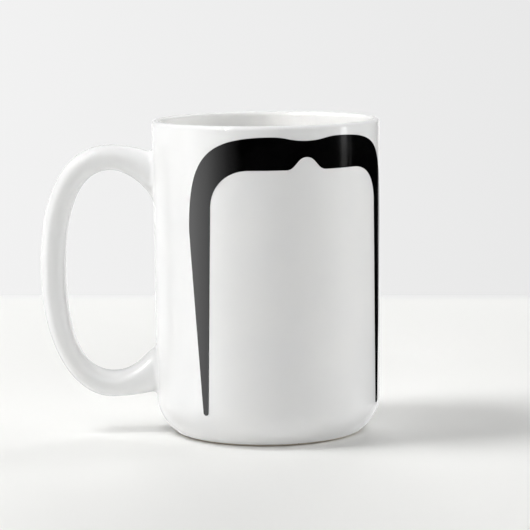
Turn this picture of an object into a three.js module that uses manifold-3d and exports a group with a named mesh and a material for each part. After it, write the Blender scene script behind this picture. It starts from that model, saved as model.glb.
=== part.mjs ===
// A straight-sided glazed ceramic mug with a looped handle and a printed moustache.
// Millimetres, +Z up. The origin is on the cup's axis, in the plane that the foot ring stands on.
// The handle points along -X, and the print faces -Y, turned a little toward +X.
import * as THREE from "three";
import { TessellateModifier } from "three/addons/modifiers/TessellateModifier.js";
import { mergeVertices } from "three/addons/utils/BufferGeometryUtils.js";
import Module from "manifold-3d";

// Cup, measured over the glaze
const HEIGHT = 118.7;
const RIM_RADIUS = 43;
const HEEL_RADIUS = 42.45; // outside of the wall where the heel starts
const HEEL_HEIGHT = 13.3;
const HEEL_SPREAD = 0.28; // outward pull of its curve at the foot, as a share of its run
const HEEL_LIFT = 0.09; // upward pull there, as a share of its height
const HEEL_FULLNESS = 0.52; // downward pull at the wall, as a share of its height
const FOOT_RADIUS = 33.8; // outer edge of the bare foot ring
const FOOT_WIDTH = 4.5;
const RECESS_DEPTH = 1.1; // clay inside the foot ring
const LIP_THICKNESS = 3.1;
const LIP_CROWN = 1.5; // height of the lip's rounding
const WALL_THICKNESS = 5.2; // at the foot of the inside wall
const FLOOR_THICKNESS = 7.5; // from the table to the inside
const CORNER_RADIUS = 10; // between the inside wall and the floor
const GLAZE = 0.3;

// Handle, measured on the clay
const HANDLE_REACH = 43; // from the wall to the farthest point
const HANDLE_THICKNESS = 8.9;
const HANDLE_WIDTH = 14;
const HANDLE_SQUARENESS = 2.6; // exponent of the section, 2 is an ellipse
const CREST_DROP = 9.5; // from the rim to the handle's top
const CREST_RUN = 16.3; // from the wall to the handle's top
const UPPER_ROOT_DROP = 12.8; // from the rim to the top of the upper root
const UPPER_ROOT_HEIGHT = 17;
const BELLY_RISE = 13.8; // from the table to the handle's underside
const BELLY_RUN = 16.7; // from the wall to the handle's lowest point
const LOWER_ROOT_RISE = 15.9; // from the table to the bottom of the lower root
const LOWER_ROOT_HEIGHT = 16.3;
const ROOT_FILLET = 2;
const SLIP_THICKNESS = 1.2; // from the wall to the end of the clay, at the middle of a root
const ROOT_PULL = 0.28; // pull of the curves at the roots, as a share of their runs
const UPPER_ROUNDNESS = 0.64; // pull of the curves above the farthest point
const LOWER_ROUNDNESS = 0.58; // pull of the outer curve below it
const GAP_ROUNDNESS = 0.66; // pull of the inner curve below it

// Print, measured flat along the wall
const PRINT_AZIMUTH = 20; // degrees from -Y toward +X
const PRINT_TOP_DROP = 3.95; // from the rim to the top of the bar
const PRINT_DIP = 1.5; // how far the top sags in the middle
const PRINT_BAR_HEIGHT = 12;
const PRINT_HALF_SPAN = 45.8;
const PRINT_SHOULDER_RUN = 32;
const PRINT_SHOULDER_DROP = 35;
const PRINT_SHOULDER_PULL = 0.75; // toward the corner that the shoulder rounds
const PRINT_ARM_WIDTH = 9.6;
const PRINT_ARMPIT_RUN = 15;
const PRINT_ARMPIT_DROP = 14.1;
const PRINT_ARMPIT_PULL = 0.56;
const PRINT_NOTCH_HEIGHT = 4.6;
const PRINT_NOTCH_HALF_WIDTH = 7.8;
const PRINT_TIP_RISE = 12; // from the table to the end of an arm
const PRINT_TIP_RADIUS = 1.1;
const PRINT_TIP_INSET = 6.4; // from the outer side of an arm to the middle of its tip
const PRINT_FILM = 0.12;
const PRINT_STENCIL = 7; // how far the cut of its outline reaches in and out of the wall

// Between a piece and the neighbour that shapes it
const SEAT_GAP = 0.05;

// Fineness of the facets
const TURN_SEGMENTS = 60;
const CURVE_STEPS = 5;
const HANDLE_SIDES = 20;
const HANDLE_STEPS = 9;

const wasm = await Module();
wasm.setup();

// Joins of the pieces

function solidOf(geometry) {
  const bare = geometry.clone();
  bare.deleteAttribute("normal");
  bare.deleteAttribute("uv");
  const merged = mergeVertices(bare, 1e-4);
  const corners = [];
  for (let i = 0; i < merged.index.count; i += 3) {
    const [a, b, c] = [0, 1, 2].map((k) => merged.index.getX(i + k));
    if (a !== b && b !== c && c !== a) corners.push(a, b, c);
  }
  return new wasm.Manifold(
    new wasm.Mesh({
      numProp: 3,
      vertProperties: new Float32Array(merged.attributes.position.array),
      triVerts: new Uint32Array(corners),
    }),
  );
}

function geometryOf(solid) {
  const mesh = solid.getMesh();
  const geometry = new THREE.BufferGeometry();
  geometry.setAttribute("position", new THREE.BufferAttribute(mesh.vertProperties, 3));
  geometry.setIndex(new THREE.BufferAttribute(mesh.triVerts, 1));
  return geometry;
}

// Outlines of the cup

function pointsAlong(path) {
  const points = [];
  for (const curve of path.curves) {
    const steps = curve.isLineCurve ? 1 : CURVE_STEPS;
    points.push(...curve.getPoints(steps).slice(points.length ? 1 : 0));
  }
  return points;
}

function clayOutline() {
  const wallTop = HEIGHT - LIP_CROWN;
  const lipMiddle = RIM_RADIUS - LIP_THICKNESS / 2;
  const lipHalf = LIP_THICKNESS / 2 - GLAZE;
  const crown = LIP_CROWN - GLAZE;
  const heel = HEEL_RADIUS - GLAZE;
  const corner = HEEL_RADIUS - WALL_THICKNESS + GLAZE;
  const floor = FLOOR_THICKNESS - GLAZE;
  const turn = CORNER_RADIUS + GLAZE;

  const outside = new THREE.Path();
  outside.moveTo(FOOT_RADIUS, 0);
  outside.bezierCurveTo(
    FOOT_RADIUS + HEEL_SPREAD * (heel - FOOT_RADIUS),
    HEEL_LIFT * HEEL_HEIGHT,
    heel,
    (1 - HEEL_FULLNESS) * HEEL_HEIGHT,
    heel,
    HEEL_HEIGHT,
  );
  outside.lineTo(lipMiddle + lipHalf, wallTop);
  outside.absellipse(lipMiddle, wallTop, lipHalf, crown, 0, Math.PI / 2, false, 0);

  const inside = new THREE.Path();
  inside.absellipse(lipMiddle, wallTop, lipHalf, crown, Math.PI / 2, Math.PI, false, 0);
  inside.lineTo(corner, floor + turn);
  inside.absarc(corner - turn, floor + turn, turn, 0, -Math.PI / 2, true);
  inside.lineTo(0, floor);

  const outer = pointsAlong(outside);
  return { points: [...outer, ...pointsAlong(inside).slice(1)], crest: outer.length - 1 };
}

function coatOver(points, thickness) {
  const sideways = (from, to) => new THREE.Vector2(to.y - from.y, from.x - to.x).normalize();
  const stretches = points.slice(1).map((point, i) => sideways(points[i], point));
  return points.map((point, i) => {
    const before = stretches[Math.max(i - 1, 0)];
    const after = stretches[Math.min(i, stretches.length - 1)];
    const out = before.clone().add(after).normalize();
    return point.clone().addScaledVector(out, thickness / out.dot(before));
  });
}

const clay = clayOutline();
const coat = coatOver(clay.points, GLAZE);

function radiusAt(points, height) {
  for (let i = 1; i <= clay.crest; i += 1) {
    const [low, high] = [points[i - 1], points[i]];
    if (height <= high.y) return low.x + ((height - low.y) * (high.x - low.x)) / (high.y - low.y);
  }
  return points[clay.crest].x;
}

// Cup and its glaze

function turned(points) {
  return new THREE.LatheGeometry(points, TURN_SEGMENTS).rotateX(Math.PI / 2);
}

function filled(points) {
  const side = points.slice(0, clay.crest + 1);
  const bottom = new THREE.Vector2(0, side[0].y);
  const top = new THREE.Vector2(0, side[clay.crest].y);
  return solidOf(turned([bottom, ...side, top]));
}

function mugBody() {
  const ringInside = FOOT_RADIUS - FOOT_WIDTH;
  const underside = [
    new THREE.Vector2(0, RECESS_DEPTH),
    new THREE.Vector2(ringInside, RECESS_DEPTH),
    new THREE.Vector2(ringInside, 0),
  ];
  return turned([...underside, ...clay.points]);
}

function baseGlaze() {
  const edge = FOOT_RADIUS - FOOT_WIDTH;
  const face = RECESS_DEPTH - GLAZE;
  return turned([
    new THREE.Vector2(0, face),
    new THREE.Vector2(edge, face),
    new THREE.Vector2(edge, RECESS_DEPTH),
    new THREE.Vector2(0, RECESS_DEPTH),
  ]);
}

function linerGlaze() {
  const under = clay.points.slice(clay.crest).reverse();
  return turned([...under, ...coat.slice(clay.crest)]);
}

function outerGlaze() {
  const over = coat.slice(1, clay.crest + 1);
  const under = clay.points.slice(1, clay.crest + 1).reverse();
  const shell = solidOf(turned([...over, ...under, over[0]]));
  return geometryOf(shell.subtract(handleLoft(SEAT_GAP)));
}

// Handle

function handleOutlines() {
  const crest = HEIGHT - CREST_DROP;
  const upperTop = HEIGHT - UPPER_ROOT_DROP;
  const upperLow = upperTop - UPPER_ROOT_HEIGHT;
  const lowerTop = LOWER_ROOT_RISE + LOWER_ROOT_HEIGHT;
  const upperWall = -radiusAt(clay.points, (upperTop + upperLow) / 2);
  const lowerWall = -radiusAt(clay.points, (LOWER_ROOT_RISE + lowerTop) / 2);
  const far = upperWall - HANDLE_REACH;
  const middle = (crest + BELLY_RISE) / 2;
  const crestX = upperWall - CREST_RUN;
  const bellyX = lowerWall - BELLY_RUN;

  const side = (rootTop, rootLow, inset, upper, lower, roundness) => {
    const [top, low, edge] = [crest - inset, BELLY_RISE + inset, far + inset];
    const path = new THREE.Path();
    path.moveTo(0, rootTop);
    path.lineTo(upperWall, rootTop);
    path.bezierCurveTo(
      upperWall - ROOT_PULL * CREST_RUN,
      rootTop + upper.slope * (top - rootTop),
      crestX + upper.ease * CREST_RUN,
      top,
      crestX,
      top,
    );
    path.bezierCurveTo(
      crestX + UPPER_ROUNDNESS * (edge - crestX),
      top,
      edge,
      middle + UPPER_ROUNDNESS * (top - middle),
      edge,
      middle,
    );
    path.bezierCurveTo(
      edge,
      middle + roundness * (low - middle),
      bellyX + roundness * (edge - bellyX),
      low,
      bellyX,
      low,
    );
    path.bezierCurveTo(
      bellyX + lower.ease * BELLY_RUN,
      low,
      lowerWall - ROOT_PULL * BELLY_RUN,
      rootLow + lower.slope * (low - rootLow),
      lowerWall,
      rootLow,
    );
    path.lineTo(0, rootLow);
    return path.curves;
  };
  const flat = { slope: 0.55, ease: 0.36 };
  const hollow = { slope: 0.6, ease: 0.36 };
  const rising = { slope: 0.25, ease: 0.52 };
  return {
    outer: side(upperTop, LOWER_ROOT_RISE, 0, flat, flat, LOWER_ROUNDNESS),
    inner: side(upperLow, lowerTop, HANDLE_THICKNESS, hollow, rising, GAP_ROUNDNESS),
  };
}

function handleStations() {
  const { outer, inner } = handleOutlines();
  const last = outer.length - 1;
  const stations = [];
  outer.forEach((curve, i) => {
    for (let k = i ? 1 : 0; k <= HANDLE_STEPS; k += 1) {
      let share = k / HANDLE_STEPS;
      if (i === 0) share = 1 - (1 - share) ** 3;
      if (i === 1) share **= 2;
      if (i === last - 1) share = 1 - (1 - share) ** 2;
      if (i === last) share **= 3;
      stations.push([curve.getPoint(share), inner[i].getPoint(share)]);
    }
  });
  return stations;
}

function filletAt([x, y, z]) {
  const away = Math.max(Math.hypot(x, y) - radiusAt(clay.points, z), 0);
  if (away >= ROOT_FILLET) return 0;
  return ROOT_FILLET - Math.sqrt(ROOT_FILLET ** 2 - (ROOT_FILLET - away) ** 2);
}

function handleRing([outer, inner], extra) {
  const middle = outer.clone().add(inner).multiplyScalar(0.5);
  const half = outer.clone().sub(inner).multiplyScalar(0.5);
  const rounded = (value) => Math.sign(value) * Math.abs(value) ** (2 / HANDLE_SQUARENESS);
  const place = (angle, grown) => {
    const along = rounded(Math.cos(angle)) * (1 + grown / half.length());
    const across = rounded(Math.sin(angle)) * (HANDLE_WIDTH / 2 + grown);
    return [middle.x + half.x * along, across, middle.y + half.y * along];
  };
  const ring = [];
  for (let i = 0; i < HANDLE_SIDES; i += 1) {
    const angle = (2 * Math.PI * i) / HANDLE_SIDES;
    ring.push(...place(angle, filletAt(place(angle, 0)) + extra));
  }
  return { ring, middle: [middle.x, 0, middle.y] };
}

function handleLoft(extra) {
  const rings = handleStations().map((station) => handleRing(station, extra));
  const count = rings.length;
  const positions = rings.flatMap(({ ring }) => ring);
  positions.push(...rings[0].middle, ...rings[count - 1].middle);
  const start = count * HANDLE_SIDES;
  const corners = [];
  for (let i = 0; i < HANDLE_SIDES; i += 1) {
    const next = (i + 1) % HANDLE_SIDES;
    for (let k = 0; k < count - 1; k += 1) {
      const [a, b] = [k * HANDLE_SIDES + i, k * HANDLE_SIDES + next];
      const [c, d] = [a + HANDLE_SIDES, b + HANDLE_SIDES];
      corners.push(a, b, c, b, d, c);
    }
    corners.push(start, next, i);
    corners.push(start + 1, start - HANDLE_SIDES + i, start - HANDLE_SIDES + next);
  }
  const geometry = new THREE.BufferGeometry();
  geometry.setAttribute("position", new THREE.Float32BufferAttribute(positions, 3));
  geometry.setIndex(corners);
  return solidOf(geometry);
}

function seatBlock(rootMiddle, low, high) {
  const depth = radiusAt(clay.points, rootMiddle) + SLIP_THICKNESS;
  const block = new THREE.BoxGeometry(depth + RIM_RADIUS, 4 * HANDLE_WIDTH, high - low);
  return solidOf(block.translate((RIM_RADIUS - depth) / 2, 0, (low + high) / 2));
}

// Print

function printOutline() {
  const top = HEIGHT - PRINT_TOP_DROP;
  const bar = top - PRINT_BAR_HEIGHT;
  const crown = PRINT_HALF_SPAN - PRINT_SHOULDER_RUN;
  const shoulder = top - PRINT_SHOULDER_DROP;
  const inside = PRINT_HALF_SPAN - PRINT_ARM_WIDTH;
  const armpit = bar - PRINT_ARMPIT_DROP;
  const elbow = inside - PRINT_ARMPIT_RUN;
  const notch = bar + PRINT_NOTCH_HEIGHT;
  const tip = PRINT_TIP_RISE + PRINT_TIP_RADIUS;
  const tipMiddle = PRINT_HALF_SPAN - PRINT_TIP_INSET;

  const corner = (path, turnX, turnY, endX, endY, pull) => {
    const from = path.currentPoint;
    path.bezierCurveTo(
      from.x + pull * (turnX - from.x),
      from.y + pull * (turnY - from.y),
      endX + pull * (turnX - endX),
      endY + pull * (turnY - endY),
      endX,
      endY,
    );
  };
  const half = new THREE.Path();
  half.moveTo(0, top - PRINT_DIP);
  half.bezierCurveTo(crown / 2, top - PRINT_DIP, crown / 2, top, crown, top);
  corner(half, PRINT_HALF_SPAN, top, PRINT_HALF_SPAN, shoulder, PRINT_SHOULDER_PULL);
  half.lineTo(tipMiddle + PRINT_TIP_RADIUS, tip);
  half.absarc(tipMiddle, tip, PRINT_TIP_RADIUS, 0, -Math.PI, true);
  half.lineTo(inside, armpit);
  corner(half, inside, bar, elbow, bar, PRINT_ARMPIT_PULL);
  half.lineTo(PRINT_NOTCH_HALF_WIDTH, bar);
  half.bezierCurveTo(PRINT_NOTCH_HALF_WIDTH / 2, bar, PRINT_NOTCH_HALF_WIDTH / 2, notch, 0, notch);

  const points = pointsAlong(half);
  const mirrored = points.slice(1, -1).reverse();
  return new THREE.Shape([...points, ...mirrored.map(({ x, y }) => new THREE.Vector2(-x, y))]);
}

function printStencil() {
  const depth = 2 * PRINT_STENCIL;
  const flat = new THREE.ExtrudeGeometry(printOutline(), { depth, bevelEnabled: false });
  const bent = new TessellateModifier(depth, 12).modify(flat);
  const places = bent.attributes.position;
  const around = (RIM_RADIUS + HEEL_RADIUS) / 2;
  for (let i = 0; i < places.count; i += 1) {
    const angle = THREE.MathUtils.degToRad(PRINT_AZIMUTH) + places.getX(i) / around;
    const radius = around - PRINT_STENCIL + places.getZ(i);
    places.setXYZ(i, radius * Math.sin(angle), -radius * Math.cos(angle), places.getY(i));
  }
  return solidOf(bent);
}

function moustachePrint() {
  const under = coatOver(coat, SEAT_GAP).slice(1, clay.crest);
  const over = coatOver(coat, SEAT_GAP + PRINT_FILM).slice(1, clay.crest);
  const film = solidOf(turned([...over, ...under.reverse(), over[0]]));
  return geometryOf(film.intersect(printStencil()));
}

// Finishes

function finish(name, color, roughness) {
  return new THREE.MeshStandardMaterial({ name, color, roughness, metalness: 0 });
}

function bareClay() {
  return finish("bare_clay", 0xe9e4da, 0.85);
}

function driedSlip() {
  return finish("dried_slip", 0xe4ded3, 0.9);
}

function whiteGlaze() {
  return finish("white_glaze", 0xf6f6f4, 0.12);
}

function blackInk() {
  return finish("black_ink", 0x101011, 0.18);
}

// Assembly

function piece(name, geometry, material) {
  const mesh = new THREE.Mesh(geometry, material);
  mesh.name = name;
  return mesh;
}

function handleGroup() {
  const middle = HEIGHT / 2;
  const upperSeat = seatBlock(HEIGHT - UPPER_ROOT_DROP - UPPER_ROOT_HEIGHT / 2, middle, 2 * HEIGHT);
  const lowerSeat = seatBlock(LOWER_ROOT_RISE + LOWER_ROOT_HEIGHT / 2, -HEIGHT, middle);
  const whole = handleLoft(0);
  const cup = filled(coatOver(clay.points, SEAT_GAP));
  const glazedCup = filled(coatOver(coat, SEAT_GAP));
  const slip = (seat) => geometryOf(whole.intersect(seat).subtract(cup));
  const sleeve = handleLoft(SEAT_GAP + GLAZE).subtract(handleLoft(SEAT_GAP)).subtract(glazedCup);
  const group = new THREE.Group();
  group.name = "handle_side";
  group.add(
    piece("handle", geometryOf(whole.subtract(upperSeat).subtract(lowerSeat)), bareClay()),
    piece("upper_slip_joint", slip(upperSeat), driedSlip()),
    piece("lower_slip_joint", slip(lowerSeat), driedSlip()),
    piece("handle_glaze", geometryOf(sleeve), whiteGlaze()),
  );
  return group;
}

function cupGroup() {
  const group = new THREE.Group();
  group.name = "cup";
  group.add(
    piece("mug_body", mugBody(), bareClay()),
    piece("base_glaze", baseGlaze(), whiteGlaze()),
    piece("liner_glaze", linerGlaze(), whiteGlaze()),
    piece("outer_glaze", outerGlaze(), whiteGlaze()),
    piece("moustache_print", moustachePrint(), blackInk()),
  );
  return group;
}

const mug = new THREE.Group();
mug.name = "printed_mug";
mug.add(cupGroup(), handleGroup());
export default mug;
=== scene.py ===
"""Looks of a tall, straight-sided glazed mug with a looped handle and a printed moustache.

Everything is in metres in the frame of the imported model: +Z up along the cup's axis, the table at
Z = 0, the handle toward -X and the print toward -Y, turned a little toward +X.
"""

import logging
import math
from dataclasses import dataclass, field, replace
from enum import Enum
from functools import cached_property
from itertools import pairwise

import bmesh
import bpy
from bmesh.types import BMEdge, BMesh, BMVert
from bpy.types import Material, Node, NodeOutputs, NodeSocket, Object, ShaderNode, ShaderNodeTree
from mathutils import Matrix, Vector


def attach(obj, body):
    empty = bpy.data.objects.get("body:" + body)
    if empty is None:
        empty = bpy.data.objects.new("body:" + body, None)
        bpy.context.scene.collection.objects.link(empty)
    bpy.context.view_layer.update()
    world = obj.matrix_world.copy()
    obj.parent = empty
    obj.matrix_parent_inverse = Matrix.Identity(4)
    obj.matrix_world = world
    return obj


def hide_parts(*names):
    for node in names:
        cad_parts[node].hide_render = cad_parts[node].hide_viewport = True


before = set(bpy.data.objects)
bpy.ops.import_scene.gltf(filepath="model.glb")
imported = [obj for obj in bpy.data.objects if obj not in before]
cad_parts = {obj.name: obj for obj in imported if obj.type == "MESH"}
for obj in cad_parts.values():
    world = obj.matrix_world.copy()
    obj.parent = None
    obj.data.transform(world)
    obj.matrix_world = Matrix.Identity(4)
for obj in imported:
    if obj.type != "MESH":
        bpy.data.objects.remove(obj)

LOG = logging.getLogger("mug")
MM = 0.001
BODY = "root"
MERGE = 1e-6
SHARP = math.radians(35)

# Places of a Mix node's sockets for colours, which share their names with other sockets
MIX_SHARE = 0
MIX_FIRST = 6
MIX_SECOND = 7
MIX_RESULT = 2


class Slot(Enum):
    """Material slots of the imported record."""

    CLAY = "bare_clay"
    SLIP = "dried_slip"
    GLAZE = "white_glaze"
    INK = "black_ink"


class Effect(Enum):
    """Shared surface effects, each a shader node group."""

    CLOUD = "firing_cloud"
    SPECK = "kiln_speck"
    RIPPLE = "surface_ripple"


class Socket(Enum):
    """Kinds of socket on a shared effect."""

    PLACE = "NodeSocketVector"
    NUMBER = "NodeSocketFloat"
    COLOUR = "NodeSocketColor"


# Shader nodes


def added(
    tree: ShaderNodeTree,
    kind: str,
    inputs: dict[str | int, object] | None = None,
    **settings: object,
) -> ShaderNode:
    """Adds a node to a tree and joins it to the nodes before it.

    Args:
        tree: The tree.
        kind: The node's type, without the leading ShaderNode.
        inputs: A value or another node's output for each input, by its name or place.
        settings: The node's own settings.

    Returns:
        The node.
    """
    node = tree.nodes.new(f"ShaderNode{kind}")
    for name, value in settings.items():
        setattr(node, name, value)
    for key, value in (inputs or {}).items():
        if isinstance(value, NodeSocket):
            tree.links.new(value, node.inputs[key])
        else:
            node.inputs[key].default_value = value
    return node


def worked_out(tree: ShaderNodeTree, operation: str, *values: float | NodeSocket) -> NodeSocket:
    """Adds a step of arithmetic.

    Args:
        tree: The tree that it is added to.
        operation: What is done with the values.
        values: The values, or other nodes' outputs.

    Returns:
        The result.
    """
    return added(tree, "Math", dict(enumerate(values)), operation=operation).outputs["Value"]


def ranged(
    tree: ShaderNodeTree,
    value: NodeSocket,
    source: tuple[float, float],
    target: tuple[float, float] = (0.0, 1.0),
    soft: bool = False,
) -> NodeSocket:
    """Moves a value from one range to another and keeps it inside.

    Args:
        tree: The tree that the step is added to.
        value: The value.
        source: Both ends of the range that it is in.
        target: Both ends of the range that it goes to.
        soft: Whether it starts and ends slowly.

    Returns:
        The moved value.
    """
    inputs = {"Value": value, "From Min": source[0], "From Max": source[1]}
    inputs |= {"To Min": target[0], "To Max": target[1]}
    way = "SMOOTHSTEP" if soft else "LINEAR"
    return added(tree, "MapRange", inputs, interpolation_type=way).outputs["Result"]


def mixed(
    tree: ShaderNodeTree,
    share: NodeSocket,
    first: NodeSocket,
    second: NodeSocket | tuple[float, float, float, float],
) -> NodeSocket:
    """Mixes two tones.

    Args:
        tree: The tree that the mix is added to.
        share: Share of the second tone.
        first: Another node's output.
        second: A colour, or another node's output.

    Returns:
        The mixed tone.
    """
    inputs = {MIX_SHARE: share, MIX_FIRST: first, MIX_SECOND: second}
    return added(tree, "Mix", inputs, data_type="RGBA").outputs[MIX_RESULT]


# Shared surface effects


@dataclass
class Effects:
    """Node groups that several finishes share, each built once."""

    cloud_detail: float = 3.0
    cloud_roughness: float = 0.55
    cloud_range: tuple[float, float] = (0.32, 0.68)
    speck_edge: float = 0.06
    wave_detail: float = 1.0
    grain_detail: float = 2.0
    trees: dict[Effect, ShaderNodeTree] = field(default_factory=dict)

    def tree(self, effect: Effect) -> ShaderNodeTree:
        """Gives a group, and builds it when it is first asked for.

        Args:
            effect: Which effect the group makes.

        Returns:
            The node group.
        """
        if effect not in self.trees:
            makers = {
                Effect.CLOUD: self.make_cloud,
                Effect.SPECK: self.make_speck,
                Effect.RIPPLE: self.make_ripple,
            }
            self.trees[effect] = makers[effect]()
        return self.trees[effect]

    @staticmethod
    def blank(
        effect: Effect, inputs: dict[str, Socket], outputs: dict[str, Socket]
    ) -> tuple[ShaderNodeTree, Node, Node]:
        """Starts a group with its sockets.

        Args:
            effect: Which effect the group makes.
            inputs: Kind of each input by its name.
            outputs: Kind of each output by its name.

        Returns:
            The group, its input node and its output node.
        """
        tree = bpy.data.node_groups.new(effect.value, "ShaderNodeTree")
        for name, kind in inputs.items():
            tree.interface.new_socket(name, in_out="INPUT", socket_type=kind.value)
        for name, kind in outputs.items():
            tree.interface.new_socket(name, in_out="OUTPUT", socket_type=kind.value)
        return tree, tree.nodes.new("NodeGroupInput"), tree.nodes.new("NodeGroupOutput")

    def make_cloud(self) -> ShaderNodeTree:
        """Builds soft patches between two tones, as firing leaves them.

        Returns:
            The node group.
        """
        tree, start, end = self.blank(
            Effect.CLOUD,
            {
                "Vector": Socket.PLACE,
                "Scale": Socket.NUMBER,
                "Tone": Socket.COLOUR,
                "Shade": Socket.COLOUR,
            },
            {"Color": Socket.COLOUR, "Patch": Socket.NUMBER},
        )
        given = start.outputs
        noise = added(
            tree,
            "TexNoise",
            {
                "Vector": given["Vector"],
                "Scale": given["Scale"],
                "Detail": self.cloud_detail,
                "Roughness": self.cloud_roughness,
            },
        )
        patch = ranged(tree, noise.outputs["Fac"], self.cloud_range, soft=True)
        tree.links.new(mixed(tree, patch, given["Tone"], given["Shade"]), end.inputs["Color"])
        tree.links.new(patch, end.inputs["Patch"])
        return tree

    def make_speck(self) -> ShaderNodeTree:
        """Builds a mask of small scattered specks.

        Returns:
            The node group.
        """
        tree, start, end = self.blank(
            Effect.SPECK,
            {"Vector": Socket.PLACE, "Scale": Socket.NUMBER, "Size": Socket.NUMBER},
            {"Mask": Socket.NUMBER},
        )
        given = start.outputs
        cells = added(tree, "TexVoronoi", {"Vector": given["Vector"], "Scale": given["Scale"]}).outputs
        chance = added(tree, "SeparateColor", {"Color": cells["Color"]}).outputs["Red"]
        size = worked_out(tree, "MULTIPLY", chance, given["Size"])
        within = worked_out(tree, "SUBTRACT", size, cells["Distance"])
        tree.links.new(ranged(tree, within, (0.0, self.speck_edge)), end.inputs["Mask"])
        return tree

    def make_ripple(self) -> ShaderNodeTree:
        """Builds the height of a surface: long waves with a finer grain on them.

        Returns:
            The node group.
        """
        tree, start, end = self.blank(
            Effect.RIPPLE,
            {
                "Vector": Socket.PLACE,
                "Wave": Socket.NUMBER,
                "Grain": Socket.NUMBER,
                "Grain Share": Socket.NUMBER,
            },
            {"Height": Socket.NUMBER},
        )
        given = start.outputs
        wave, grain = (
            added(tree, "TexNoise", {"Vector": given["Vector"], "Scale": given[name], "Detail": detail})
            for name, detail in (("Wave", self.wave_detail), ("Grain", self.grain_detail))
        )
        fine, long = grain.outputs["Fac"], wave.outputs["Fac"]
        height = worked_out(tree, "MULTIPLY_ADD", fine, given["Grain Share"], long)
        tree.links.new(height, end.inputs["Height"])
        return tree


# Finishes


@dataclass(frozen=True)
class Finish:
    """A surface: its tones, gloss, specks and relief.

    Lengths of the patterns are given as the size of one patch, wave or grain.
    """

    name: str
    slot: Slot
    tone: tuple[float, float, float]
    shade: tuple[float, float, float]
    speck_tone: tuple[float, float, float]
    cloud_size: float
    speck_spacing: float
    speck_size: float
    smooth: float
    rough: float
    wave_size: float
    grain_size: float
    grain_share: float
    relief: float

    def material(self, effects: Effects) -> Material:
        """Builds the finish as a material.

        Args:
            effects: The shared node groups.

        Returns:
            The material.
        """
        found = bpy.data.materials.get(self.name)
        if found:
            return found
        made = bpy.data.materials.new(self.name)
        made.use_nodes = True
        tree = made.node_tree
        surface = tree.nodes["Principled BSDF"]
        place = added(tree, "TexCoord").outputs["Object"]

        cloud = added(
            tree,
            "Group",
            {
                "Vector": place,
                "Scale": 1.0 / self.cloud_size,
                "Tone": (*self.tone, 1.0),
                "Shade": (*self.shade, 1.0),
            },
            node_tree=effects.tree(Effect.CLOUD),
        )
        speck = added(
            tree,
            "Group",
            {
                "Vector": place,
                "Scale": 1.0 / self.speck_spacing,
                "Size": self.speck_size / self.speck_spacing,
            },
            node_tree=effects.tree(Effect.SPECK),
        )
        ripple = added(
            tree,
            "Group",
            {
                "Vector": place,
                "Wave": 1.0 / self.wave_size,
                "Grain": 1.0 / self.grain_size,
                "Grain Share": self.grain_share,
            },
            node_tree=effects.tree(Effect.RIPPLE),
        )

        dotted = mixed(tree, speck.outputs["Mask"], cloud.outputs["Color"], (*self.speck_tone, 1.0))
        gloss = ranged(tree, cloud.outputs["Patch"], (0.0, 1.0), (self.smooth, self.rough))
        bump = added(tree, "Bump", {"Height": ripple.outputs["Height"], "Distance": self.relief})
        tree.links.new(dotted, surface.inputs["Base Color"])
        tree.links.new(gloss, surface.inputs["Roughness"])
        tree.links.new(bump.outputs["Normal"], surface.inputs["Normal"])
        return made


WHITE_GLAZE = Finish(
    name="fired_white_glaze",
    slot=Slot.GLAZE,
    tone=(0.875, 0.875, 0.87),
    shade=(0.86, 0.862, 0.862),
    speck_tone=(0.78, 0.77, 0.75),
    cloud_size=22 * MM,
    speck_spacing=14 * MM,
    speck_size=0.35 * MM,
    smooth=0.07,
    rough=0.11,
    wave_size=9 * MM,
    grain_size=1.6 * MM,
    grain_share=0.06,
    relief=0.02 * MM,
)
# The liner is the white glaze painted lighter: painted light that brightens the inside of the cup.
LIT_LINER_GLAZE = replace(
    WHITE_GLAZE,
    name="fired_liner_glaze_painted_light",
    tone=(0.91, 0.91, 0.895),
    shade=(0.895, 0.895, 0.88),
)
BLACK_INK = Finish(
    name="fired_black_ink",
    slot=Slot.INK,
    tone=(0.0006, 0.0006, 0.0007),
    shade=(0.0014, 0.0014, 0.0015),
    speck_tone=(0.004, 0.004, 0.004),
    cloud_size=9 * MM,
    speck_spacing=5 * MM,
    speck_size=0.3 * MM,
    smooth=0.09,
    rough=0.13,
    wave_size=9 * MM,
    grain_size=0.9 * MM,
    grain_share=0.1,
    relief=0.02 * MM,
)
BARE_CLAY = Finish(
    name="fired_bare_clay",
    slot=Slot.CLAY,
    tone=(0.68, 0.62, 0.53),
    shade=(0.61, 0.54, 0.45),
    speck_tone=(0.36, 0.27, 0.2),
    cloud_size=7 * MM,
    speck_spacing=2.2 * MM,
    speck_size=0.5 * MM,
    smooth=0.72,
    rough=0.92,
    wave_size=2.5 * MM,
    grain_size=0.35 * MM,
    grain_share=0.6,
    relief=0.08 * MM,
)
DRIED_SLIP = Finish(
    name="fired_slip",
    slot=Slot.SLIP,
    tone=(0.63, 0.57, 0.48),
    shade=(0.55, 0.48, 0.4),
    speck_tone=(0.34, 0.26, 0.2),
    cloud_size=4 * MM,
    speck_spacing=1.8 * MM,
    speck_size=0.4 * MM,
    smooth=0.8,
    rough=0.95,
    wave_size=1.6 * MM,
    grain_size=0.3 * MM,
    grain_share=0.8,
    relief=0.12 * MM,
)


# Drawing and settling of pieces


@dataclass(frozen=True)
class Bend:
    """A cubic curve between two points, pulled by two others."""

    start: Vector
    start_pull: Vector
    end_pull: Vector
    end: Vector

    def at(self, share: float) -> Vector:
        """Gives the point at a share of the curve.

        Args:
            share: From 0 at the start to 1 at the end.

        Returns:
            The point.
        """
        rest = 1.0 - share
        return (
            self.start * rest**3
            + self.start_pull * (3 * rest**2 * share)
            + self.end_pull * (3 * rest * share**2)
            + self.end * share**3
        )

    def points(self, steps: int) -> list[Vector]:
        """Gives evenly spaced points, both ends included."""
        return [self.at(i / steps) for i in range(steps + 1)]


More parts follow.
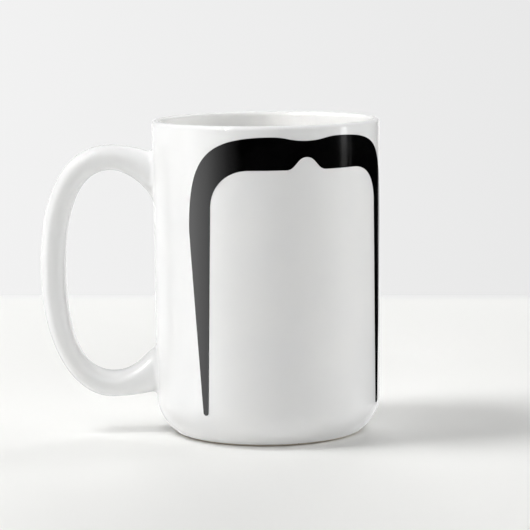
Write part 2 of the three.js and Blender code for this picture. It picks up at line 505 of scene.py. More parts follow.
def rounded(start: Vector, corner: Vector, end: Vector, pull: float) -> Bend:
    """Makes a curve that turns round a corner.

    Args:
        start: Where the curve starts.
        corner: The corner that it turns round.
        end: Where the curve ends.
        pull: How far it reaches toward the corner, from 0 to 1.

    Returns:
        The curve.
    """
    return Bend(start, start.lerp(corner, pull), end.lerp(corner, pull), end)


def arc(
    middle: Vector, across: float, up: float, first: float, last: float, steps: int
) -> list[Vector]:
    """Gives points on an ellipse that stands in the X-Z plane.

    Args:
        middle: The middle of the ellipse.
        across: Half of its width.
        up: Half of its height.
        first: Angle of the first point in degrees, from +X toward +Z.
        last: Angle of the last point in degrees.
        steps: Number of steps between them.

    Returns:
        The points.
    """
    angles = [math.radians(first + (last - first) * i / steps) for i in range(steps + 1)]
    return [middle + Vector((across * math.cos(a), 0, up * math.sin(a))) for a in angles]


def coat_over(line: list[Vector], thickness: float) -> list[Vector]:
    """Moves a line in the X-Z plane sideways, to the outside of the piece it bounds.

    Args:
        line: Points of the line.
        thickness: How far it moves.

    Returns:
        The points of the moved line.
    """
    steps = [(b - a).normalized() for a, b in pairwise(line)]
    sideways = [Vector((step.z, 0, -step.x)) for step in steps]
    moved = []
    for i, point in enumerate(line):
        before = sideways[max(i - 1, 0)]
        after = sideways[min(i, len(sideways) - 1)]
        out = (before + after).normalized()
        moved.append(point + out * (thickness / out.dot(before)))
    return moved


def turned(line: list[Vector], closed: bool, steps: int) -> BMesh:
    """Spins a line in the X-Z plane round the cup's axis.

    Args:
        line: Points of the line.
        closed: Whether its last point joins its first.
        steps: Number of steps in the full turn.

    Returns:
        The mesh.
    """
    mesh = bmesh.new()
    verts = [mesh.verts.new(point) for point in line]
    pairs = list(pairwise(verts))
    if closed:
        pairs.append((verts[-1], verts[0]))
    edges = [mesh.edges.new(pair) for pair in pairs]
    bmesh.ops.spin(
        mesh,
        geom=[*verts, *edges],
        cent=(0, 0, 0),
        axis=(0, 0, 1),
        dvec=(0, 0, 0),
        angle=2 * math.pi,
        steps=steps,
        use_merge=True,
        use_duplicate=False,
    )
    cleaned(mesh)
    return mesh


def cleaned(mesh: BMesh) -> None:
    """Merges doubled points and points all faces outwards.

    Args:
        mesh: The mesh.
    """
    bmesh.ops.remove_doubles(mesh, verts=mesh.verts, dist=MERGE)
    bmesh.ops.dissolve_degenerate(mesh, dist=MERGE / 10, edges=mesh.edges)
    bmesh.ops.recalc_face_normals(mesh, faces=mesh.faces)


def softened(mesh: BMesh, edges: list[BMEdge], width: float, segments: int) -> None:
    """Rounds edges of a mesh.

    Args:
        mesh: The mesh.
        edges: The edges to round.
        width: How far the rounding reaches from each edge.
        segments: Number of facets in the rounding.
    """
    bmesh.ops.bevel(
        mesh,
        geom=edges,
        offset=width,
        offset_type="OFFSET",
        affect="EDGES",
        segments=segments,
        profile=0.5,
        material=-1,
    )


@dataclass
class Bench:
    """Where meshes become finished pieces of the mug."""

    effects: Effects = field(default_factory=Effects)

    def settle(self, mesh: BMesh, node: str, finish: Finish) -> Object:
        """Turns a mesh into a piece that stands for a CAD node.

        Args:
            mesh: The mesh, in the frame's place. It is freed.
            node: The CAD node's name.
            finish: The piece's finish.

        Returns:
            The piece.
        """
        for face in mesh.faces:
            face.smooth = True
        for edge in mesh.edges:
            edge.smooth = edge.calc_face_angle(0.0) < SHARP
        data = bpy.data.meshes.new(f"{node}_fine")
        mesh.to_mesh(data)
        mesh.free()
        data.materials.append(finish.material(self.effects))
        piece = bpy.data.objects.new(f"{node}_fine", data)
        bpy.context.scene.collection.objects.link(piece)
        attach(piece, BODY)
        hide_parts(node)
        LOG.info("%s: %d faces for node %s", piece.name, len(data.polygons), node)
        return piece

    def dress(self, node: str, finish: Finish) -> Object:
        """Gives a CAD node that stays its finish.

        Args:
            node: The CAD node's name.
            finish: Its finish.

        Returns:
            The node's object.
        """
        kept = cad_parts[node]
        kept.data.materials.clear()
        kept.data.materials.append(finish.material(self.effects))
        LOG.info("%s: kept from the frame with %s", node, finish.name)
        return kept


# Cup


@dataclass
class Cup:
    """The turned clay body and the glaze inside, outside and under it."""

    height: float = 118.7 * MM
    rim_radius: float = 43 * MM
    heel_radius: float = 42.45 * MM
    heel_height: float = 13.3 * MM
    heel_spread: float = 0.28
    heel_lift: float = 0.09
    heel_fullness: float = 0.52
    foot_radius: float = 33.8 * MM
    foot_width: float = 4.5 * MM
    recess_depth: float = 1.1 * MM
    lip_thickness: float = 3.1 * MM
    lip_crown: float = 1.5 * MM
    wall_thickness: float = 5.2 * MM
    floor_thickness: float = 7.5 * MM
    corner_radius: float = 10 * MM
    glaze: float = 0.3 * MM
    bare_heel: float = 0.2
    foot_rounding: float = 0.35 * MM
    foot_segments: int = 3
    base_fade: float = 1.8 * MM
    base_steps: int = 5
    base_edge_steps: int = 6
    turn_steps: int = 192
    heel_steps: int = 20
    wall_steps: int = 12
    lip_steps: int = 14
    corner_steps: int = 12
    floor_steps: int = 5

    @cached_property
    def outside(self) -> list[Vector]:
        """Draws the clay's line from the foot's outer edge to the crest of the lip.

        Returns:
            Points of the line.
        """
        heel = self.heel_radius - self.glaze
        top = self.height - self.lip_crown
        wall = Vector((self.rim_radius - self.glaze, 0, top))
        spread = self.foot_radius + self.heel_spread * (heel - self.foot_radius)
        rounding = Bend(
            Vector((self.foot_radius, 0, 0)),
            Vector((spread, 0, self.heel_lift * self.heel_height)),
            Vector((heel, 0, (1 - self.heel_fullness) * self.heel_height)),
            Vector((heel, 0, self.heel_height)),
        ).points(self.heel_steps)
        rise = [rounding[-1].lerp(wall, i / self.wall_steps) for i in range(1, self.wall_steps)]
        return [*rounding, *rise, *self.lip(0, 90)]

    def lip(self, first: float, last: float) -> list[Vector]:
        """Draws part of the clay's rounded lip.

        Args:
            first: Angle of the first point in degrees, 0 outside and 90 at the crest.
            last: Angle of the last point in degrees.

        Returns:
            Points of the line.
        """
        middle = Vector((self.rim_radius - self.lip_thickness / 2, 0, self.height - self.lip_crown))
        across = self.lip_thickness / 2 - self.glaze
        return arc(middle, across, self.lip_crown - self.glaze, first, last, self.lip_steps)

    @cached_property
    def inside(self) -> list[Vector]:
        """Draws the clay's line from the crest of the lip to the middle of the cup's floor.

        Returns:
            Points of the line.
        """
        side = self.heel_radius - self.wall_thickness + self.glaze
        floor = self.floor_thickness - self.glaze
        turn = self.corner_radius + self.glaze
        lip = self.lip(90, 180)
        corner = arc(Vector((side - turn, 0, floor + turn)), turn, turn, 0, -90, self.corner_steps)
        fall = [lip[-1].lerp(corner[0], i / self.wall_steps) for i in range(1, self.wall_steps)]
        middle = Vector((0, 0, floor))
        steps = self.floor_steps
        flat = [corner[-1].lerp(middle, i / steps) for i in range(1, steps + 1)]
        return [*lip, *fall, *corner, *flat]

    @cached_property
    def clay(self) -> list[Vector]:
        """Points of the clay's whole line, over the lip from the foot to the cup's floor."""
        return [*self.outside, *self.inside[1:]]

    @cached_property
    def coat(self) -> list[Vector]:
        """Points of the glaze's surface over the clay's whole line."""
        return coat_over(self.clay, self.glaze)

    @cached_property
    def crest(self) -> int:
        """Place of the lip's crest in the lines."""
        return len(self.outside) - 1

    def radius_at(self, height: float) -> float:
        """Gives the outside radius over the glaze at a height.

        Args:
            height: Height above the table.

        Returns:
            The radius.
        """
        for low, high in pairwise(self.coat[: self.crest + 1]):
            if low.z <= height <= high.z:
                return low.x + (high.x - low.x) * (height - low.z) / (high.z - low.z)
        return self.rim_radius

    def build_body(self, bench: Bench) -> Object:
        """Spins the clay body, with the edges of its foot ring rounded.

        Args:
            bench: Where the mesh becomes a piece.

        Returns:
            The piece.
        """
        ring_inside = self.foot_radius - self.foot_width
        under = [
            Vector((0, 0, self.recess_depth)),
            Vector((ring_inside, 0, self.recess_depth)),
            Vector((ring_inside, 0, 0)),
        ]
        mesh = turned([*under, *self.clay], False, self.turn_steps)
        edges = [
            edge
            for edge in mesh.edges
            if all(abs(vert.co.z) < MERGE for vert in edge.verts)
            and abs(edge.verts[0].co.xy.length - edge.verts[1].co.xy.length) < MERGE
        ]
        softened(mesh, edges, self.foot_rounding, self.foot_segments)
        return bench.settle(mesh, "mug_body", BARE_CLAY)

    def build_base_glaze(self, bench: Bench) -> Object:
        """Spins the glaze in the recess under the cup, thinning out at its edge.

        Args:
            bench: Where the mesh becomes a piece.

        Returns:
            The piece.
        """
        edge = self.foot_radius - self.foot_width
        face = self.recess_depth - self.glaze
        fade = self.base_fade
        line = [Vector((edge * i / self.base_steps, 0, face)) for i in range(self.base_steps)]
        line += Bend(
            Vector((edge - fade, 0, face)),
            Vector((edge - fade / 2, 0, face)),
            Vector((edge - fade / 4, 0, face + self.glaze / 2)),
            Vector((edge, 0, self.recess_depth)),
        ).points(self.base_edge_steps)
        line.append(Vector((0, 0, self.recess_depth)))
        return bench.settle(turned(line, False, self.turn_steps), "base_glaze", WHITE_GLAZE)

    def build_liner_glaze(self, bench: Bench) -> Object:
        """Spins the glaze inside the cup, from the crest of the lip.

        Args:
            bench: Where the mesh becomes a piece.

        Returns:
            The piece.
        """
        over = self.coat[self.crest :]
        under = self.clay[self.crest :]
        mesh = turned([*reversed(under), *over], False, self.turn_steps)
        # The liner's finish is painted lighter than the outer glaze, as painted light inside the cup.
        return bench.settle(mesh, "liner_glaze", LIT_LINER_GLAZE)

    def build_outer_glaze(self, bench: Bench) -> Object:
        """Spins the glaze outside the cup, from just above the foot to the crest of the lip.

        Args:
            bench: Where the mesh becomes a piece.

        Returns:
            The piece.
        """
        first = round(self.bare_heel * self.heel_steps)
        over = self.coat[first : self.crest + 1]
        under = self.clay[first : self.crest + 1]
        mesh = turned([*over, *reversed(under)], True, self.turn_steps)
        return bench.settle(mesh, "outer_glaze", WHITE_GLAZE)

    def build(self, bench: Bench) -> list[Object]:
        """Builds the cup's pieces.

        Args:
            bench: Where meshes become pieces.

        Returns:
            The pieces.
        """
        return [
            self.build_body(bench),
            self.build_base_glaze(bench),
            self.build_liner_glaze(bench),
            self.build_outer_glaze(bench),
        ]


# Handle


@dataclass
class Handle:
    """The looped handle: its clay and slip stay from the frame, and its glaze flows into the cup."""

    cup: Cup
    reach: float = 43 * MM
    thickness: float = 8.9 * MM
    width: float = 14 * MM
    squareness: float = 2.6
    crest_drop: float = 9.5 * MM
    crest_run: float = 16.3 * MM
    upper_root_drop: float = 12.8 * MM
    upper_root_height: float = 17 * MM
    belly_rise: float = 13.8 * MM
    belly_run: float = 16.7 * MM
    lower_root_rise: float = 15.9 * MM
    lower_root_height: float = 16.3 * MM
    root_pull: float = 0.28
    upper_roundness: float = 0.64
    lower_roundness: float = 0.58
    gap_roundness: float = 0.66
    outer_root: tuple[float, float] = (0.55, 0.36)
    inner_upper_root: tuple[float, float] = (0.6, 0.36)
    inner_lower_root: tuple[float, float] = (0.25, 0.52)
    glaze: float = 0.33 * MM
    root_fillet: float = 2 * MM
    sink: float = 0.06 * MM
    wrap_depth: float = 12 * MM
    sides: int = 72
    steps: int = 30

    def walls(self) -> tuple[float, float]:
        """Finds the cup's glazed wall at the middle of the upper and the lower root.

        Returns:
            The wall's X at each of them.
        """
        upper = self.cup.height - self.upper_root_drop - self.upper_root_height / 2
        lower = self.lower_root_rise + self.lower_root_height / 2
        return -self.cup.radius_at(upper), -self.cup.radius_at(lower)

    def outline(
        self,
        root_top: float,
        root_low: float,
        inset: float,
        upper: tuple[float, float],
        lower: tuple[float, float],
        roundness: float,
    ) -> list[Bend]:
        """Draws one side of the loop, from the upper root round to the lower root.

        Args:
            root_top: Height at which it leaves the wall.
            root_low: Height at which it meets the wall again.
            inset: How far it lies inside the loop's outer side.
            upper: Slope and ease of the curve from the upper root to the crest.
            lower: Slope and ease of the curve from the belly to the lower root.
            roundness: Pull of the curve below the farthest point.

        Returns:
            The curves, in order.
        """
        upper_wall, lower_wall = (wall + self.cup.glaze for wall in self.walls())
        crest = self.cup.height - self.crest_drop
        top, low = crest - inset, self.belly_rise + inset
        edge = upper_wall - self.reach + inset
        middle = (crest + self.belly_rise) / 2
        crest_x = upper_wall - self.crest_run
        belly_x = lower_wall - self.belly_run
        upper_slope, upper_ease = upper
        lower_slope, lower_ease = lower
        leaving = root_top + upper_slope * (top - root_top)
        meeting = root_low + lower_slope * (low - root_low)

        def spot(x: float, z: float) -> Vector:
            """Gives a point in the plane of the loop."""
            return Vector((x, 0, z))

        return [
            Bend(
                spot(upper_wall, root_top),
                spot(upper_wall - self.root_pull * self.crest_run, leaving),
                spot(crest_x + upper_ease * self.crest_run, top),
                spot(crest_x, top),
            ),
            rounded(spot(crest_x, top), spot(edge, top), spot(edge, middle), self.upper_roundness),
            rounded(spot(edge, middle), spot(edge, low), spot(belly_x, low), roundness),
            Bend(
                spot(belly_x, low),
                spot(belly_x + lower_ease * self.belly_run, low),
                spot(lower_wall - self.root_pull * self.belly_run, meeting),
                spot(lower_wall, root_low),
            ),
        ]

    def stations(self) -> list[tuple[Vector, Vector]]:
        """Gives pairs of points on the loop's outer and inner side, closer together at the roots.

        Returns:
            The pairs, from the upper root to the lower root.
        """
        upper_top = self.cup.height - self.upper_root_drop
        lower_top = self.lower_root_rise + self.lower_root_height
        upper_low = upper_top - self.upper_root_height
        outer = self.outline(
            upper_top, self.lower_root_rise, 0, self.outer_root, self.outer_root, self.lower_roundness
        )
        inner = self.outline(
            upper_low,
            lower_top,
            self.thickness,
            self.inner_upper_root,
            self.inner_lower_root,
            self.gap_roundness,
        )
        pairs = []
        for i, (out, within) in enumerate(zip(outer, inner)):
            for k in range(1 if i else 0, self.steps + 1):
                share = k / self.steps
                if i == 0:
                    share = share**2
                if i == len(outer) - 1:
                    share = 1 - (1 - share) ** 2
                pairs.append((out.at(share), within.at(share)))
        return pairs

    def flare(self, away: float) -> float:
        """Gives how far the root's fillet stands out at a distance from the wall.

        Args:
            away: Distance from the glazed wall.

        Returns:
            The fillet's height there.
        """
        gap = self.root_fillet - max(away, 0)
        if gap <= 0:
            return 0.0
        return self.root_fillet - math.sqrt(max(self.root_fillet**2 - gap**2, 0))

    def section(self, outer: Vector, inner: Vector) -> list[Vector]:
        """Draws the rounded section of the handle at one station.

        Args:
            outer: Point on the outer side of the loop.
            inner: Point on the inner side of the loop.

        Returns:
            Points round the section.
        """
        middle = (outer + inner) / 2
        away = -middle.x - self.cup.radius_at(middle.z)
        grown = self.glaze + self.flare(away)
        half = (outer - inner) / 2
        half *= 1 + grown / half.length
        width = self.width / 2 + grown
        power = 2 / self.squareness
        ring = []
        for i in range(self.sides):
            angle = 2 * math.pi * i / self.sides
            along, across = math.cos(angle), math.sin(angle)
            along = math.copysign(abs(along) ** power, along)
            across = math.copysign(abs(across) ** power, across)
            point = middle + half * along + Vector((0, width * across, 0))
            ring.append(self.wrapped(middle, point, away))
        return ring

    def wrapped(self, middle: Vector, point: Vector, away: float) -> Vector:
        """Moves a point near the cup so that its section follows the round wall.

        Args:
            middle: The middle of the point's section.
            point: The point.
            away: Distance of the middle from the glazed wall.

        Returns:
            The moved point.
        """
        share = min(max(away / self.wrap_depth, 0), 1)
        hold = 1 - share * share * (3 - 2 * share)
        radius = self.cup.radius_at(point.z)
        wall = -math.sqrt(max(radius**2 - point.y**2, 0))
        moved = point.copy()
        moved.x += hold * (wall + self.cup.radius_at(middle.z))
        if away <= 0:
            moved.x = wall + self.sink
        return moved

    def build_glaze(self, bench: Bench) -> Object:
        """Draws a section along the loop to make the handle's glaze, a thin sleeve over the clay.

        Args:
            bench: Where the mesh becomes a piece.

        Returns:
            The piece.
        """
        pairs = self.stations()
        upper_wall, lower_wall = self.walls()
        pairs = [p for p in pairs if -(p[0] + p[1]).x / 2 > self.wall_near(p) - MERGE]
        first, last = pairs[0], pairs[-1]
        pairs.insert(0, tuple(Vector((upper_wall, 0, point.z)) for point in first))
        pairs.append(tuple(Vector((lower_wall, 0, point.z)) for point in last))

        mesh = bmesh.new()
        made = bmesh.ops.create_circle(mesh, cap_ends=False, segments=self.sides, radius=self.width)
        ring = made["verts"]
        edges = list(mesh.edges)
        for i, pair in enumerate(pairs):
            if i:
                grown = bmesh.ops.extrude_edge_only(mesh, edges=edges)["geom"]
                fresh = {item for item in grown if isinstance(item, BMVert)}
                ring = [self.follower(vert, fresh) for vert in ring]
                edges = [item for item in grown if isinstance(item, BMEdge)]
                edges = [edge for edge in edges if set(edge.verts) <= fresh]
            for vert, point in zip(ring, self.section(*pair)):
                vert.co = point
        cleaned(mesh)
        bmesh.ops.solidify(mesh, geom=mesh.faces, thickness=self.cup.glaze)
        return bench.settle(mesh, "handle_glaze", WHITE_GLAZE)

    @staticmethod
    def follower(vert: BMVert, fresh: set[BMVert]) -> BMVert:
        """Gives the one of the fresh vertices that was extruded from a vertex."""
        others = (edge.other_vert(vert) for edge in vert.link_edges)
        return next(other for other in others if other in fresh)

    def wall_near(self, pair: tuple[Vector, Vector]) -> float:
        """Gives the glazed radius of the cup at the height of a station's middle."""
        return self.cup.radius_at((pair[0].z + pair[1].z) / 2)

    def build(self, bench: Bench) -> list[Object]:
        """Builds and dresses the handle's pieces.

        Args:
            bench: Where meshes become pieces.

        Returns:
            The pieces.
        """
        return [
            bench.dress("handle", BARE_CLAY),
            bench.dress("upper_slip_joint", DRIED_SLIP),
            bench.dress("lower_slip_joint", DRIED_SLIP),
            self.build_glaze(bench),
        ]


# Print


@dataclass
class Print:
    """The moustache silhouette, drawn flat and wrapped round the cup as a thin film of ink."""

    cup: Cup
    azimuth: float = 20.0
    top_drop: float = 3.95 * MM
    dip: float = 1.5 * MM
    bar_height: float = 12 * MM
    half_span: float = 45.8 * MM
    shoulder_run: float = 32 * MM
    shoulder_drop: float = 35 * MM
    shoulder_pull: float = 0.75
    arm_width: float = 9.6 * MM
    armpit_run: float = 15 * MM
    armpit_drop: float = 14.1 * MM
    armpit_pull: float = 0.56
    notch_height: float = 4.6 * MM
    notch_half_width: float = 7.8 * MM
    tip_rise: float = 12 * MM
    tip_radius: float = 1.1 * MM
    tip_inset: float = 6.4 * MM
    lift: float = 0.02 * MM
    film: float = 0.1 * MM
    column: float = 1.2 * MM
    row: float = 6 * MM
    curve_steps: int = 24
    tip_steps: int = 12

    def half_outline(self) -> list[Vector]:
        """Draws one half of the moustache, from the middle of its top to the middle of its notch.

        Returns:
            Points of the line, X along the wall and Z up.
        """
        top = self.cup.height - self.top_drop
        bar = top - self.bar_height
        crown = self.half_span - self.shoulder_run
        inside = self.half_span - self.arm_width
        tip = Vector((self.half_span - self.tip_inset, 0, self.tip_rise + self.tip_radius))
        steps = self.curve_steps

        def spot(x: float, z: float) -> Vector:
            """Gives a point on the flattened wall."""
            return Vector((x, 0, z))

        sag = Bend(
            spot(0, top - self.dip),
            spot(crown / 2, top - self.dip),
            spot(crown / 2, top),
            spot(crown, top),
        )
        shoulder = rounded(
            spot(crown, top),
            spot(self.half_span, top),
            spot(self.half_span, top - self.shoulder_drop),
            self.shoulder_pull,
        )
        end = arc(tip, self.tip_radius, self.tip_radius, 0, -180, self.tip_steps)
        armpit = rounded(
            spot(inside, bar - self.armpit_drop),
            spot(inside, bar),
            spot(inside - self.armpit_run, bar),
            self.armpit_pull,
        )
        notch = Bend(
            spot(self.notch_half_width, bar),
            spot(self.notch_half_width / 2, bar),
            spot(self.notch_half_width / 2, bar + self.notch_height),
            spot(0, bar + self.notch_height),
        )
        line = [*sag.points(steps), *shoulder.points(steps)[1:], *end]
        return [*line, *armpit.points(steps), *notch.points(steps)]

    def wrapped(self, flat: Vector) -> Vector:
        """Wraps a point of the flat drawing round the cup.

        Args:
            flat: The point, X along the wall and Z up.

        Returns:
            The point just off the glaze.
        """
        around = (self.cup.rim_radius + self.cup.heel_radius) / 2
        angle = math.radians(self.azimuth) + flat.x / around
        radius = self.cup.radius_at(flat.z) + self.lift
        return Vector((radius * math.sin(angle), -radius * math.cos(angle), flat.z))

    def build(self, bench: Bench) -> list[Object]:
        """Builds the film of ink.

        Args:
            bench: Where the mesh becomes a piece.

        Returns:
            The piece, in a list.
        """
        mesh = bmesh.new()
        line = self.half_outline()
        whole = [*line, *(Vector((-p.x, 0, p.z)) for p in reversed(line[1:-1]))]
        verts = [mesh.verts.new(point) for point in whole]
        bmesh.ops.remove_doubles(mesh, verts=verts, dist=MERGE)
        mesh.faces.new(mesh.verts)
        self.cut(mesh, Vector((1, 0, 0)), -self.half_span, self.half_span, self.column)
        self.cut(mesh, Vector((0, 0, 1)), self.tip_rise - self.row / 2, self.cup.height, self.row)
        bmesh.ops.triangulate(mesh, faces=mesh.faces)
        for vert in mesh.verts:
            vert.co = self.wrapped(vert.co)
        outward = sum((face.normal.dot(face.calc_center_median()) for face in mesh.faces), 0.0)
        if outward < 0:
            bmesh.ops.reverse_faces(mesh, faces=mesh.faces)
        bmesh.ops.solidify(mesh, geom=mesh.faces, thickness=-self.film)
        return [bench.settle(mesh, "moustache_print", BLACK_INK)]

    @staticmethod
    def cut(mesh: BMesh, across: Vector, first: float, last: float, step: float) -> None:
        """Cuts the flat drawing into strips so that it can bend.

        Args:
            mesh: The flat drawing.
            across: Direction across the strips.
            first: Where the first strip starts.
            last: Where the last strip ends.
            step: Width of a strip.
        """
        for i in range(1, int((last - first) / step)):
            bmesh.ops.bisect_plane(
                mesh,
                geom=[*mesh.verts, *mesh.edges, *mesh.faces],
                dist=MERGE,
                plane_co=across * (first + step * i),
                plane_no=across,
            )


# Studio


@dataclass(frozen=True)
class Lamp:
    """A square soft lamp that leaves no highlight on the mug, with its spread in degrees."""

    name: str
    place: tuple[float, float, float]
    size: float
    power: float
    aim: tuple[float, float, float] = (0.0, 0.0, 0.06)
    spread: float = 180.0


@dataclass(frozen=True)
class Card:
    """An upright card that only the mug's gloss shows, black or glowing."""

    name: str
    start: tuple[float, float]
    end: tuple[float, float]
    low: float
    high: float
    low_glow: float
    high_glow: float


@dataclass(frozen=True)
class Band:
    """A band of the surround, with its glow at the left and at the right.

    It lies over the bands before it, from the angle of rise where it starts, in degrees, to the
    one where it covers them.
    """

    start: float
    full: float
    left: float
    right: float


@dataclass
class Studio:
    """A pale table that fades into a pale backdrop behind the mug, soft light and the camera.

    The glow of the surround is given by its angle round the mug in degrees, from the camera's side
    toward the handle.
    """

    table_reach: float = 2.5
    table_tone: tuple[float, float, float] = (0.848, 0.848, 0.833)
    table_edge: float = 0.362
    table_edge_turn: float = 0.077
    edge_fade: float = 0.024
    # The backdrop's tone at its left and right ends: painted light, lighter on the window's side at the
    # left.
    backdrop_left: float = 0.885
    backdrop_right: float = 0.815
    backdrop_spread: float = 0.11
    peak: float = 3.0
    glow: tuple[tuple[float, float], ...] = (
        (-180, 0.97),
        (-98, 0.88),
        (-92, 0.0),
        (26, 0.0),
        (38, 0.3),
        (49, 0.9),
        (62, 1.85),
        (82, 2.75),
        (90, 1.9),
        (98, 1.45),
        (112, 1.4),
        (140, 1.08),
        (180, 0.97),
    )
    wall: Band = Band(1.0, 6.0, 0.62, 0.62)
    ceiling: Band = Band(18.0, 38.0, 1.2, 1.2)
    floor: Band = Band(-14.0, -28.0, 1.0, 0.45)
    side_reach: float = 0.7
    cards: tuple[Card, ...] = (
        Card("strip", (0.8, -0.16), (0.8, -0.05), -0.12, 0.3, 0.45, 6.0),
        Card("flag", (0.13, 0.2), (0.5, 0.008), -0.05, 0.13, 0.0, 0.0),
        Card("skylight", (-0.42, -0.55), (-1.45, -0.77), 1.0, 1.05, 260.0, 260.0),
    )
    card_rise: tuple[float, float] = (0.06, 0.085)
    lamps: tuple[Lamp, ...] = (
        Lamp("window", (-1.93, -0.27, 0.85), 0.7, 15.9),
        Lamp("window_behind", (-0.98, 0.98, 0.7), 0.9, 1.6),
        Lamp("high_left", (-0.57, -0.05, 1.0), 0.4, 6.2),
        Lamp("into_cup", (-0.05, -0.35, 0.45), 0.03, 0.0013, (0.023, 0.03, 0.115), 8.0),
        Lamp("right", (1.7, 0.45, 0.42), 0.8, 17.6),
        Lamp("front", (0.2, -1.1, 0.7), 0.7, 5.6),
        Lamp("behind", (0.1, 1.1, 0.7), 0.7, 7.4),
    )
    camera_place: tuple[float, float, float] = (-0.0008, -0.89145, 0.17862)
    pitch: float = 7.387
    roll: float = 0.627
    lens: float = 160.73
    sensor: float = 36.0

    def build(self) -> None:
        """Builds the table, the light and the camera."""
        self.build_table()
        self.build_world()
        self.build_cards()
        self.build_lamps()
        self.build_camera()

    @staticmethod
    def staged(mesh: BMesh, name: str, finish: Material) -> Object:
        """Turns a mesh into an object of the studio, which isn't part of the mug.

        Args:
            mesh: The mesh. It is freed.
            name: The object's name.
            finish: Its material.

        Returns:
            The object.
        """
        data = bpy.data.meshes.new(name)
        mesh.to_mesh(data)
        mesh.free()
        data.materials.append(finish)
        made = bpy.data.objects.new(name, data)
        bpy.context.scene.collection.objects.link(made)
        return made

    @staticmethod
    def bare_material(name: str) -> Material:
        """Starts a material that has no nodes yet.

        Args:
            name: The material's name.

        Returns:
            The material.
        """
        made = bpy.data.materials.new(name)
        made.use_nodes = True
        made.node_tree.nodes.clear()
        return made

    def build_table(self) -> None:
        """Builds the table, whose far edge lies level in the camera's view."""
        mesh = bmesh.new()
        bmesh.ops.create_grid(mesh, x_segments=1, y_segments=1, size=self.table_reach)
        for vert in mesh.verts:
            if vert.co.y > 0:
                vert.co.y = self.table_edge - self.table_edge_turn * vert.co.x
        table = self.staged(mesh, "table", self.table_finish())
        table.visible_glossy = False

    def table_finish(self) -> Material:
        """Builds the table's pale surface, which fades into the backdrop at its far edge.

        Returns:
            The material.
        """
        made = self.bare_material("table_top")
        tree = made.node_tree
        place = added(tree, "TexCoord").outputs["Object"]
        spot = added(tree, "SeparateXYZ", {"Vector": place}).outputs
        away = worked_out(tree, "MULTIPLY_ADD", spot["X"], self.table_edge_turn, spot["Y"])
        edge = (self.table_edge - self.edge_fade, self.table_edge)
        fade = ranged(tree, away, edge, soft=True)
        seen = worked_out(tree, "MULTIPLY", fade, self.straight_view(tree))
        distance = self.table_edge - self.camera_place[1]
        # At its far edge the table shows the backdrop, with its painted light falling from left to
        # right.
        behind = self.backdrop_painted_falloff(tree, spot["X"], self.backdrop_spread * distance)
        pale = added(tree, "BsdfDiffuse", {"Color": (*self.table_tone, 1.0)}).outputs[0]
        glow = added(tree, "Emission", {"Color": behind}).outputs[0]
        blend = added(tree, "MixShader", {0: seen, 1: pale, 2: glow})
        added(tree, "OutputMaterial", {"Surface": blend.outputs[0]})
        return made

    @staticmethod
    def straight_view(tree: ShaderNodeTree) -> NodeSocket:
        """Builds the share that is seen by the camera, or through glass, and not by reflection.

        Args:
            tree: The nodes that it is added to.

        Returns:
            1 where it is, 0 where it isn't.
        """
        path = added(tree, "LightPath").outputs
        return worked_out(tree, "MAXIMUM", path["Is Camera Ray"], path["Is Transmission Ray"])

    def backdrop_painted_falloff(self, tree: ShaderNodeTree, across: NodeSocket, spread: float) -> NodeSocket:
        """Builds the backdrop's tone, which falls a little from left to right: painted light, lighter
        on the window's side.

        Args:
            tree: The nodes that it is added to.
            across: Where a point lies from left to right.
            spread: The value at the right end of the backdrop.

        Returns:
            The tone.
        """
        tones = (self.backdrop_left, self.backdrop_right)
        return ranged(tree, across, (-spread, spread), tones)

    def build_world(self) -> None:
        """Builds the backdrop that the camera sees and the surround that the gloss reflects."""
        scene = bpy.context.scene
        scene.view_settings.view_transform = "Standard"
        scene.world = bpy.data.worlds.new("studio")
        scene.world.use_nodes = True
        scene.world.cycles_visibility.diffuse = False
        tree = scene.world.node_tree
        tree.nodes.clear()
        place = added(tree, "TexCoord").outputs["Generated"]
        way = added(tree, "SeparateXYZ", {"Vector": place}).outputs
        surround = self.surround(tree, way)
        backdrop = self.backdrop_painted_falloff(tree, way["X"], self.backdrop_spread)
        light = added(tree, "Background", {"Color": surround, "Strength": self.peak}).outputs[0]
        pale = added(tree, "Background", {"Color": backdrop}).outputs[0]
        blend = added(tree, "MixShader", {0: self.straight_view(tree), 1: light, 2: pale})
        added(tree, "OutputWorld", {"Surface": blend.outputs[0]})

    def surround(self, tree: ShaderNodeTree, way: NodeOutputs) -> NodeSocket:
        """Builds the surround's strength by direction, as a share of its peak.

        Args:
            tree: The world's nodes.
            way: The parts of the direction.

        Returns:
            The strength.
        """
        back = [worked_out(tree, "MULTIPLY", way[axis], -1.0) for axis in "XY"]
        turn = worked_out(tree, "ARCTAN2", *back)
        ramp = added(tree, "ValToRGB", {"Fac": ranged(tree, turn, (-math.pi, math.pi))})
        stops = ramp.color_ramp.elements
        while len(stops) > 1:
            stops.remove(stops[0])
        stops[0].position = 0.0
        for i, (azimuth, strength) in enumerate(self.glow):
            stop = stops[0] if i == 0 else stops.new((azimuth + 180) / 360)
            level = strength / self.peak
            stop.color = (level, level, level, 1.0)
        last = ramp.outputs["Color"]
        for band in (self.wall, self.ceiling, self.floor):
            rise = (math.sin(math.radians(band.start)), math.sin(math.radians(band.full)))
            reach = ranged(tree, way["Z"], rise, soft=True)
            tones = (band.left / self.peak, band.right / self.peak)
            tone = ranged(tree, way["X"], (-self.side_reach, self.side_reach), tones)
            last = mixed(tree, reach, last, tone)
        return last

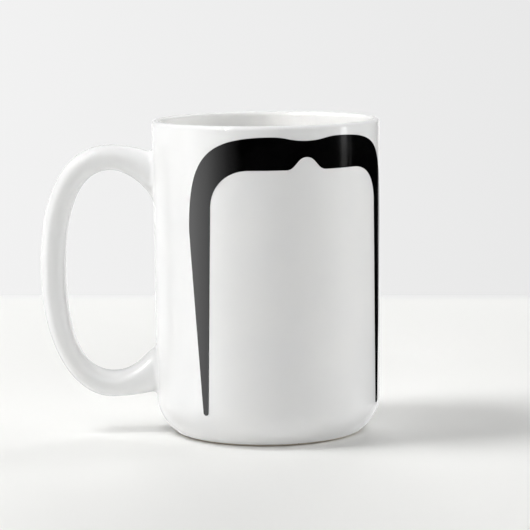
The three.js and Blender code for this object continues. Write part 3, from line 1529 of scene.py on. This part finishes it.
    def build_cards(self) -> None:
        """Builds the cards, out of the camera's view."""
        for card in self.cards:
            mesh = bmesh.new()
            foot = [mesh.verts.new((*spot, card.low)) for spot in (card.start, card.end)]
            edge = mesh.edges.new(foot)
            grown = bmesh.ops.extrude_edge_only(mesh, edges=[edge])["geom"]
            raised = [item for item in grown if isinstance(item, BMVert)]
            bmesh.ops.translate(mesh, verts=raised, vec=(0, 0, card.high - card.low))
            made = self.staged(mesh, card.name, self.card_finish(card))
            made.visible_camera = False
            made.visible_diffuse = False
            made.visible_shadow = False

    def card_finish(self, card: Card) -> Material:
        """Builds a card's glow, which grows from its low part to its high part.

        Args:
            card: The card.

        Returns:
            The material.
        """
        made = self.bare_material(f"{card.name}_card")
        tree = made.node_tree
        place = added(tree, "TexCoord").outputs["Object"]
        spot = added(tree, "SeparateXYZ", {"Vector": place}).outputs
        glows = (card.low_glow, card.high_glow)
        rise = ranged(tree, spot["Z"], self.card_rise, glows, soft=True)
        glow = added(tree, "Emission", {"Strength": rise})
        added(tree, "OutputMaterial", {"Surface": glow.outputs[0]})
        return made

    def build_lamps(self) -> None:
        """Builds the soft lamps."""
        for lamp in self.lamps:
            data = bpy.data.lights.new(lamp.name, "AREA")
            data.energy = lamp.power
            data.size = lamp.size
            data.spread = math.radians(lamp.spread)
            made = bpy.data.objects.new(lamp.name, data)
            made.location = lamp.place
            aim = Vector(lamp.aim) - made.location
            made.rotation_euler = aim.to_track_quat("-Z", "Y").to_euler()
            made.visible_glossy = False
            bpy.context.scene.collection.objects.link(made)

    def build_camera(self) -> None:
        """Builds the camera in front of the mug, a little above its rim and looking down."""
        data = bpy.data.cameras.new("camera")
        data.sensor_fit = "HORIZONTAL"
        data.sensor_width = self.sensor
        data.lens = self.lens
        camera = bpy.data.objects.new("camera", data)
        pitch, roll = math.radians(self.pitch), math.radians(self.roll)
        look = Matrix.Rotation(math.pi / 2 - pitch, 4, "X") @ Matrix.Rotation(-roll, 4, "Z")
        camera.matrix_world = Matrix.Translation(self.camera_place) @ look
        bpy.context.scene.collection.objects.link(camera)
        bpy.context.scene.camera = camera


def main() -> None:
    """Builds the mug and its studio."""
    logging.basicConfig(level=logging.INFO, format="%(name)s: %(message)s")
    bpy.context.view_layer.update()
    bench = Bench()
    cup = Cup()
    pieces = []
    for part in (cup, Handle(cup), Print(cup)):
        pieces += part.build(bench)
    LOG.info("%d pieces", len(pieces))
    Studio().build()
    bpy.context.view_layer.update()


if __name__ == "__main__":
    main()
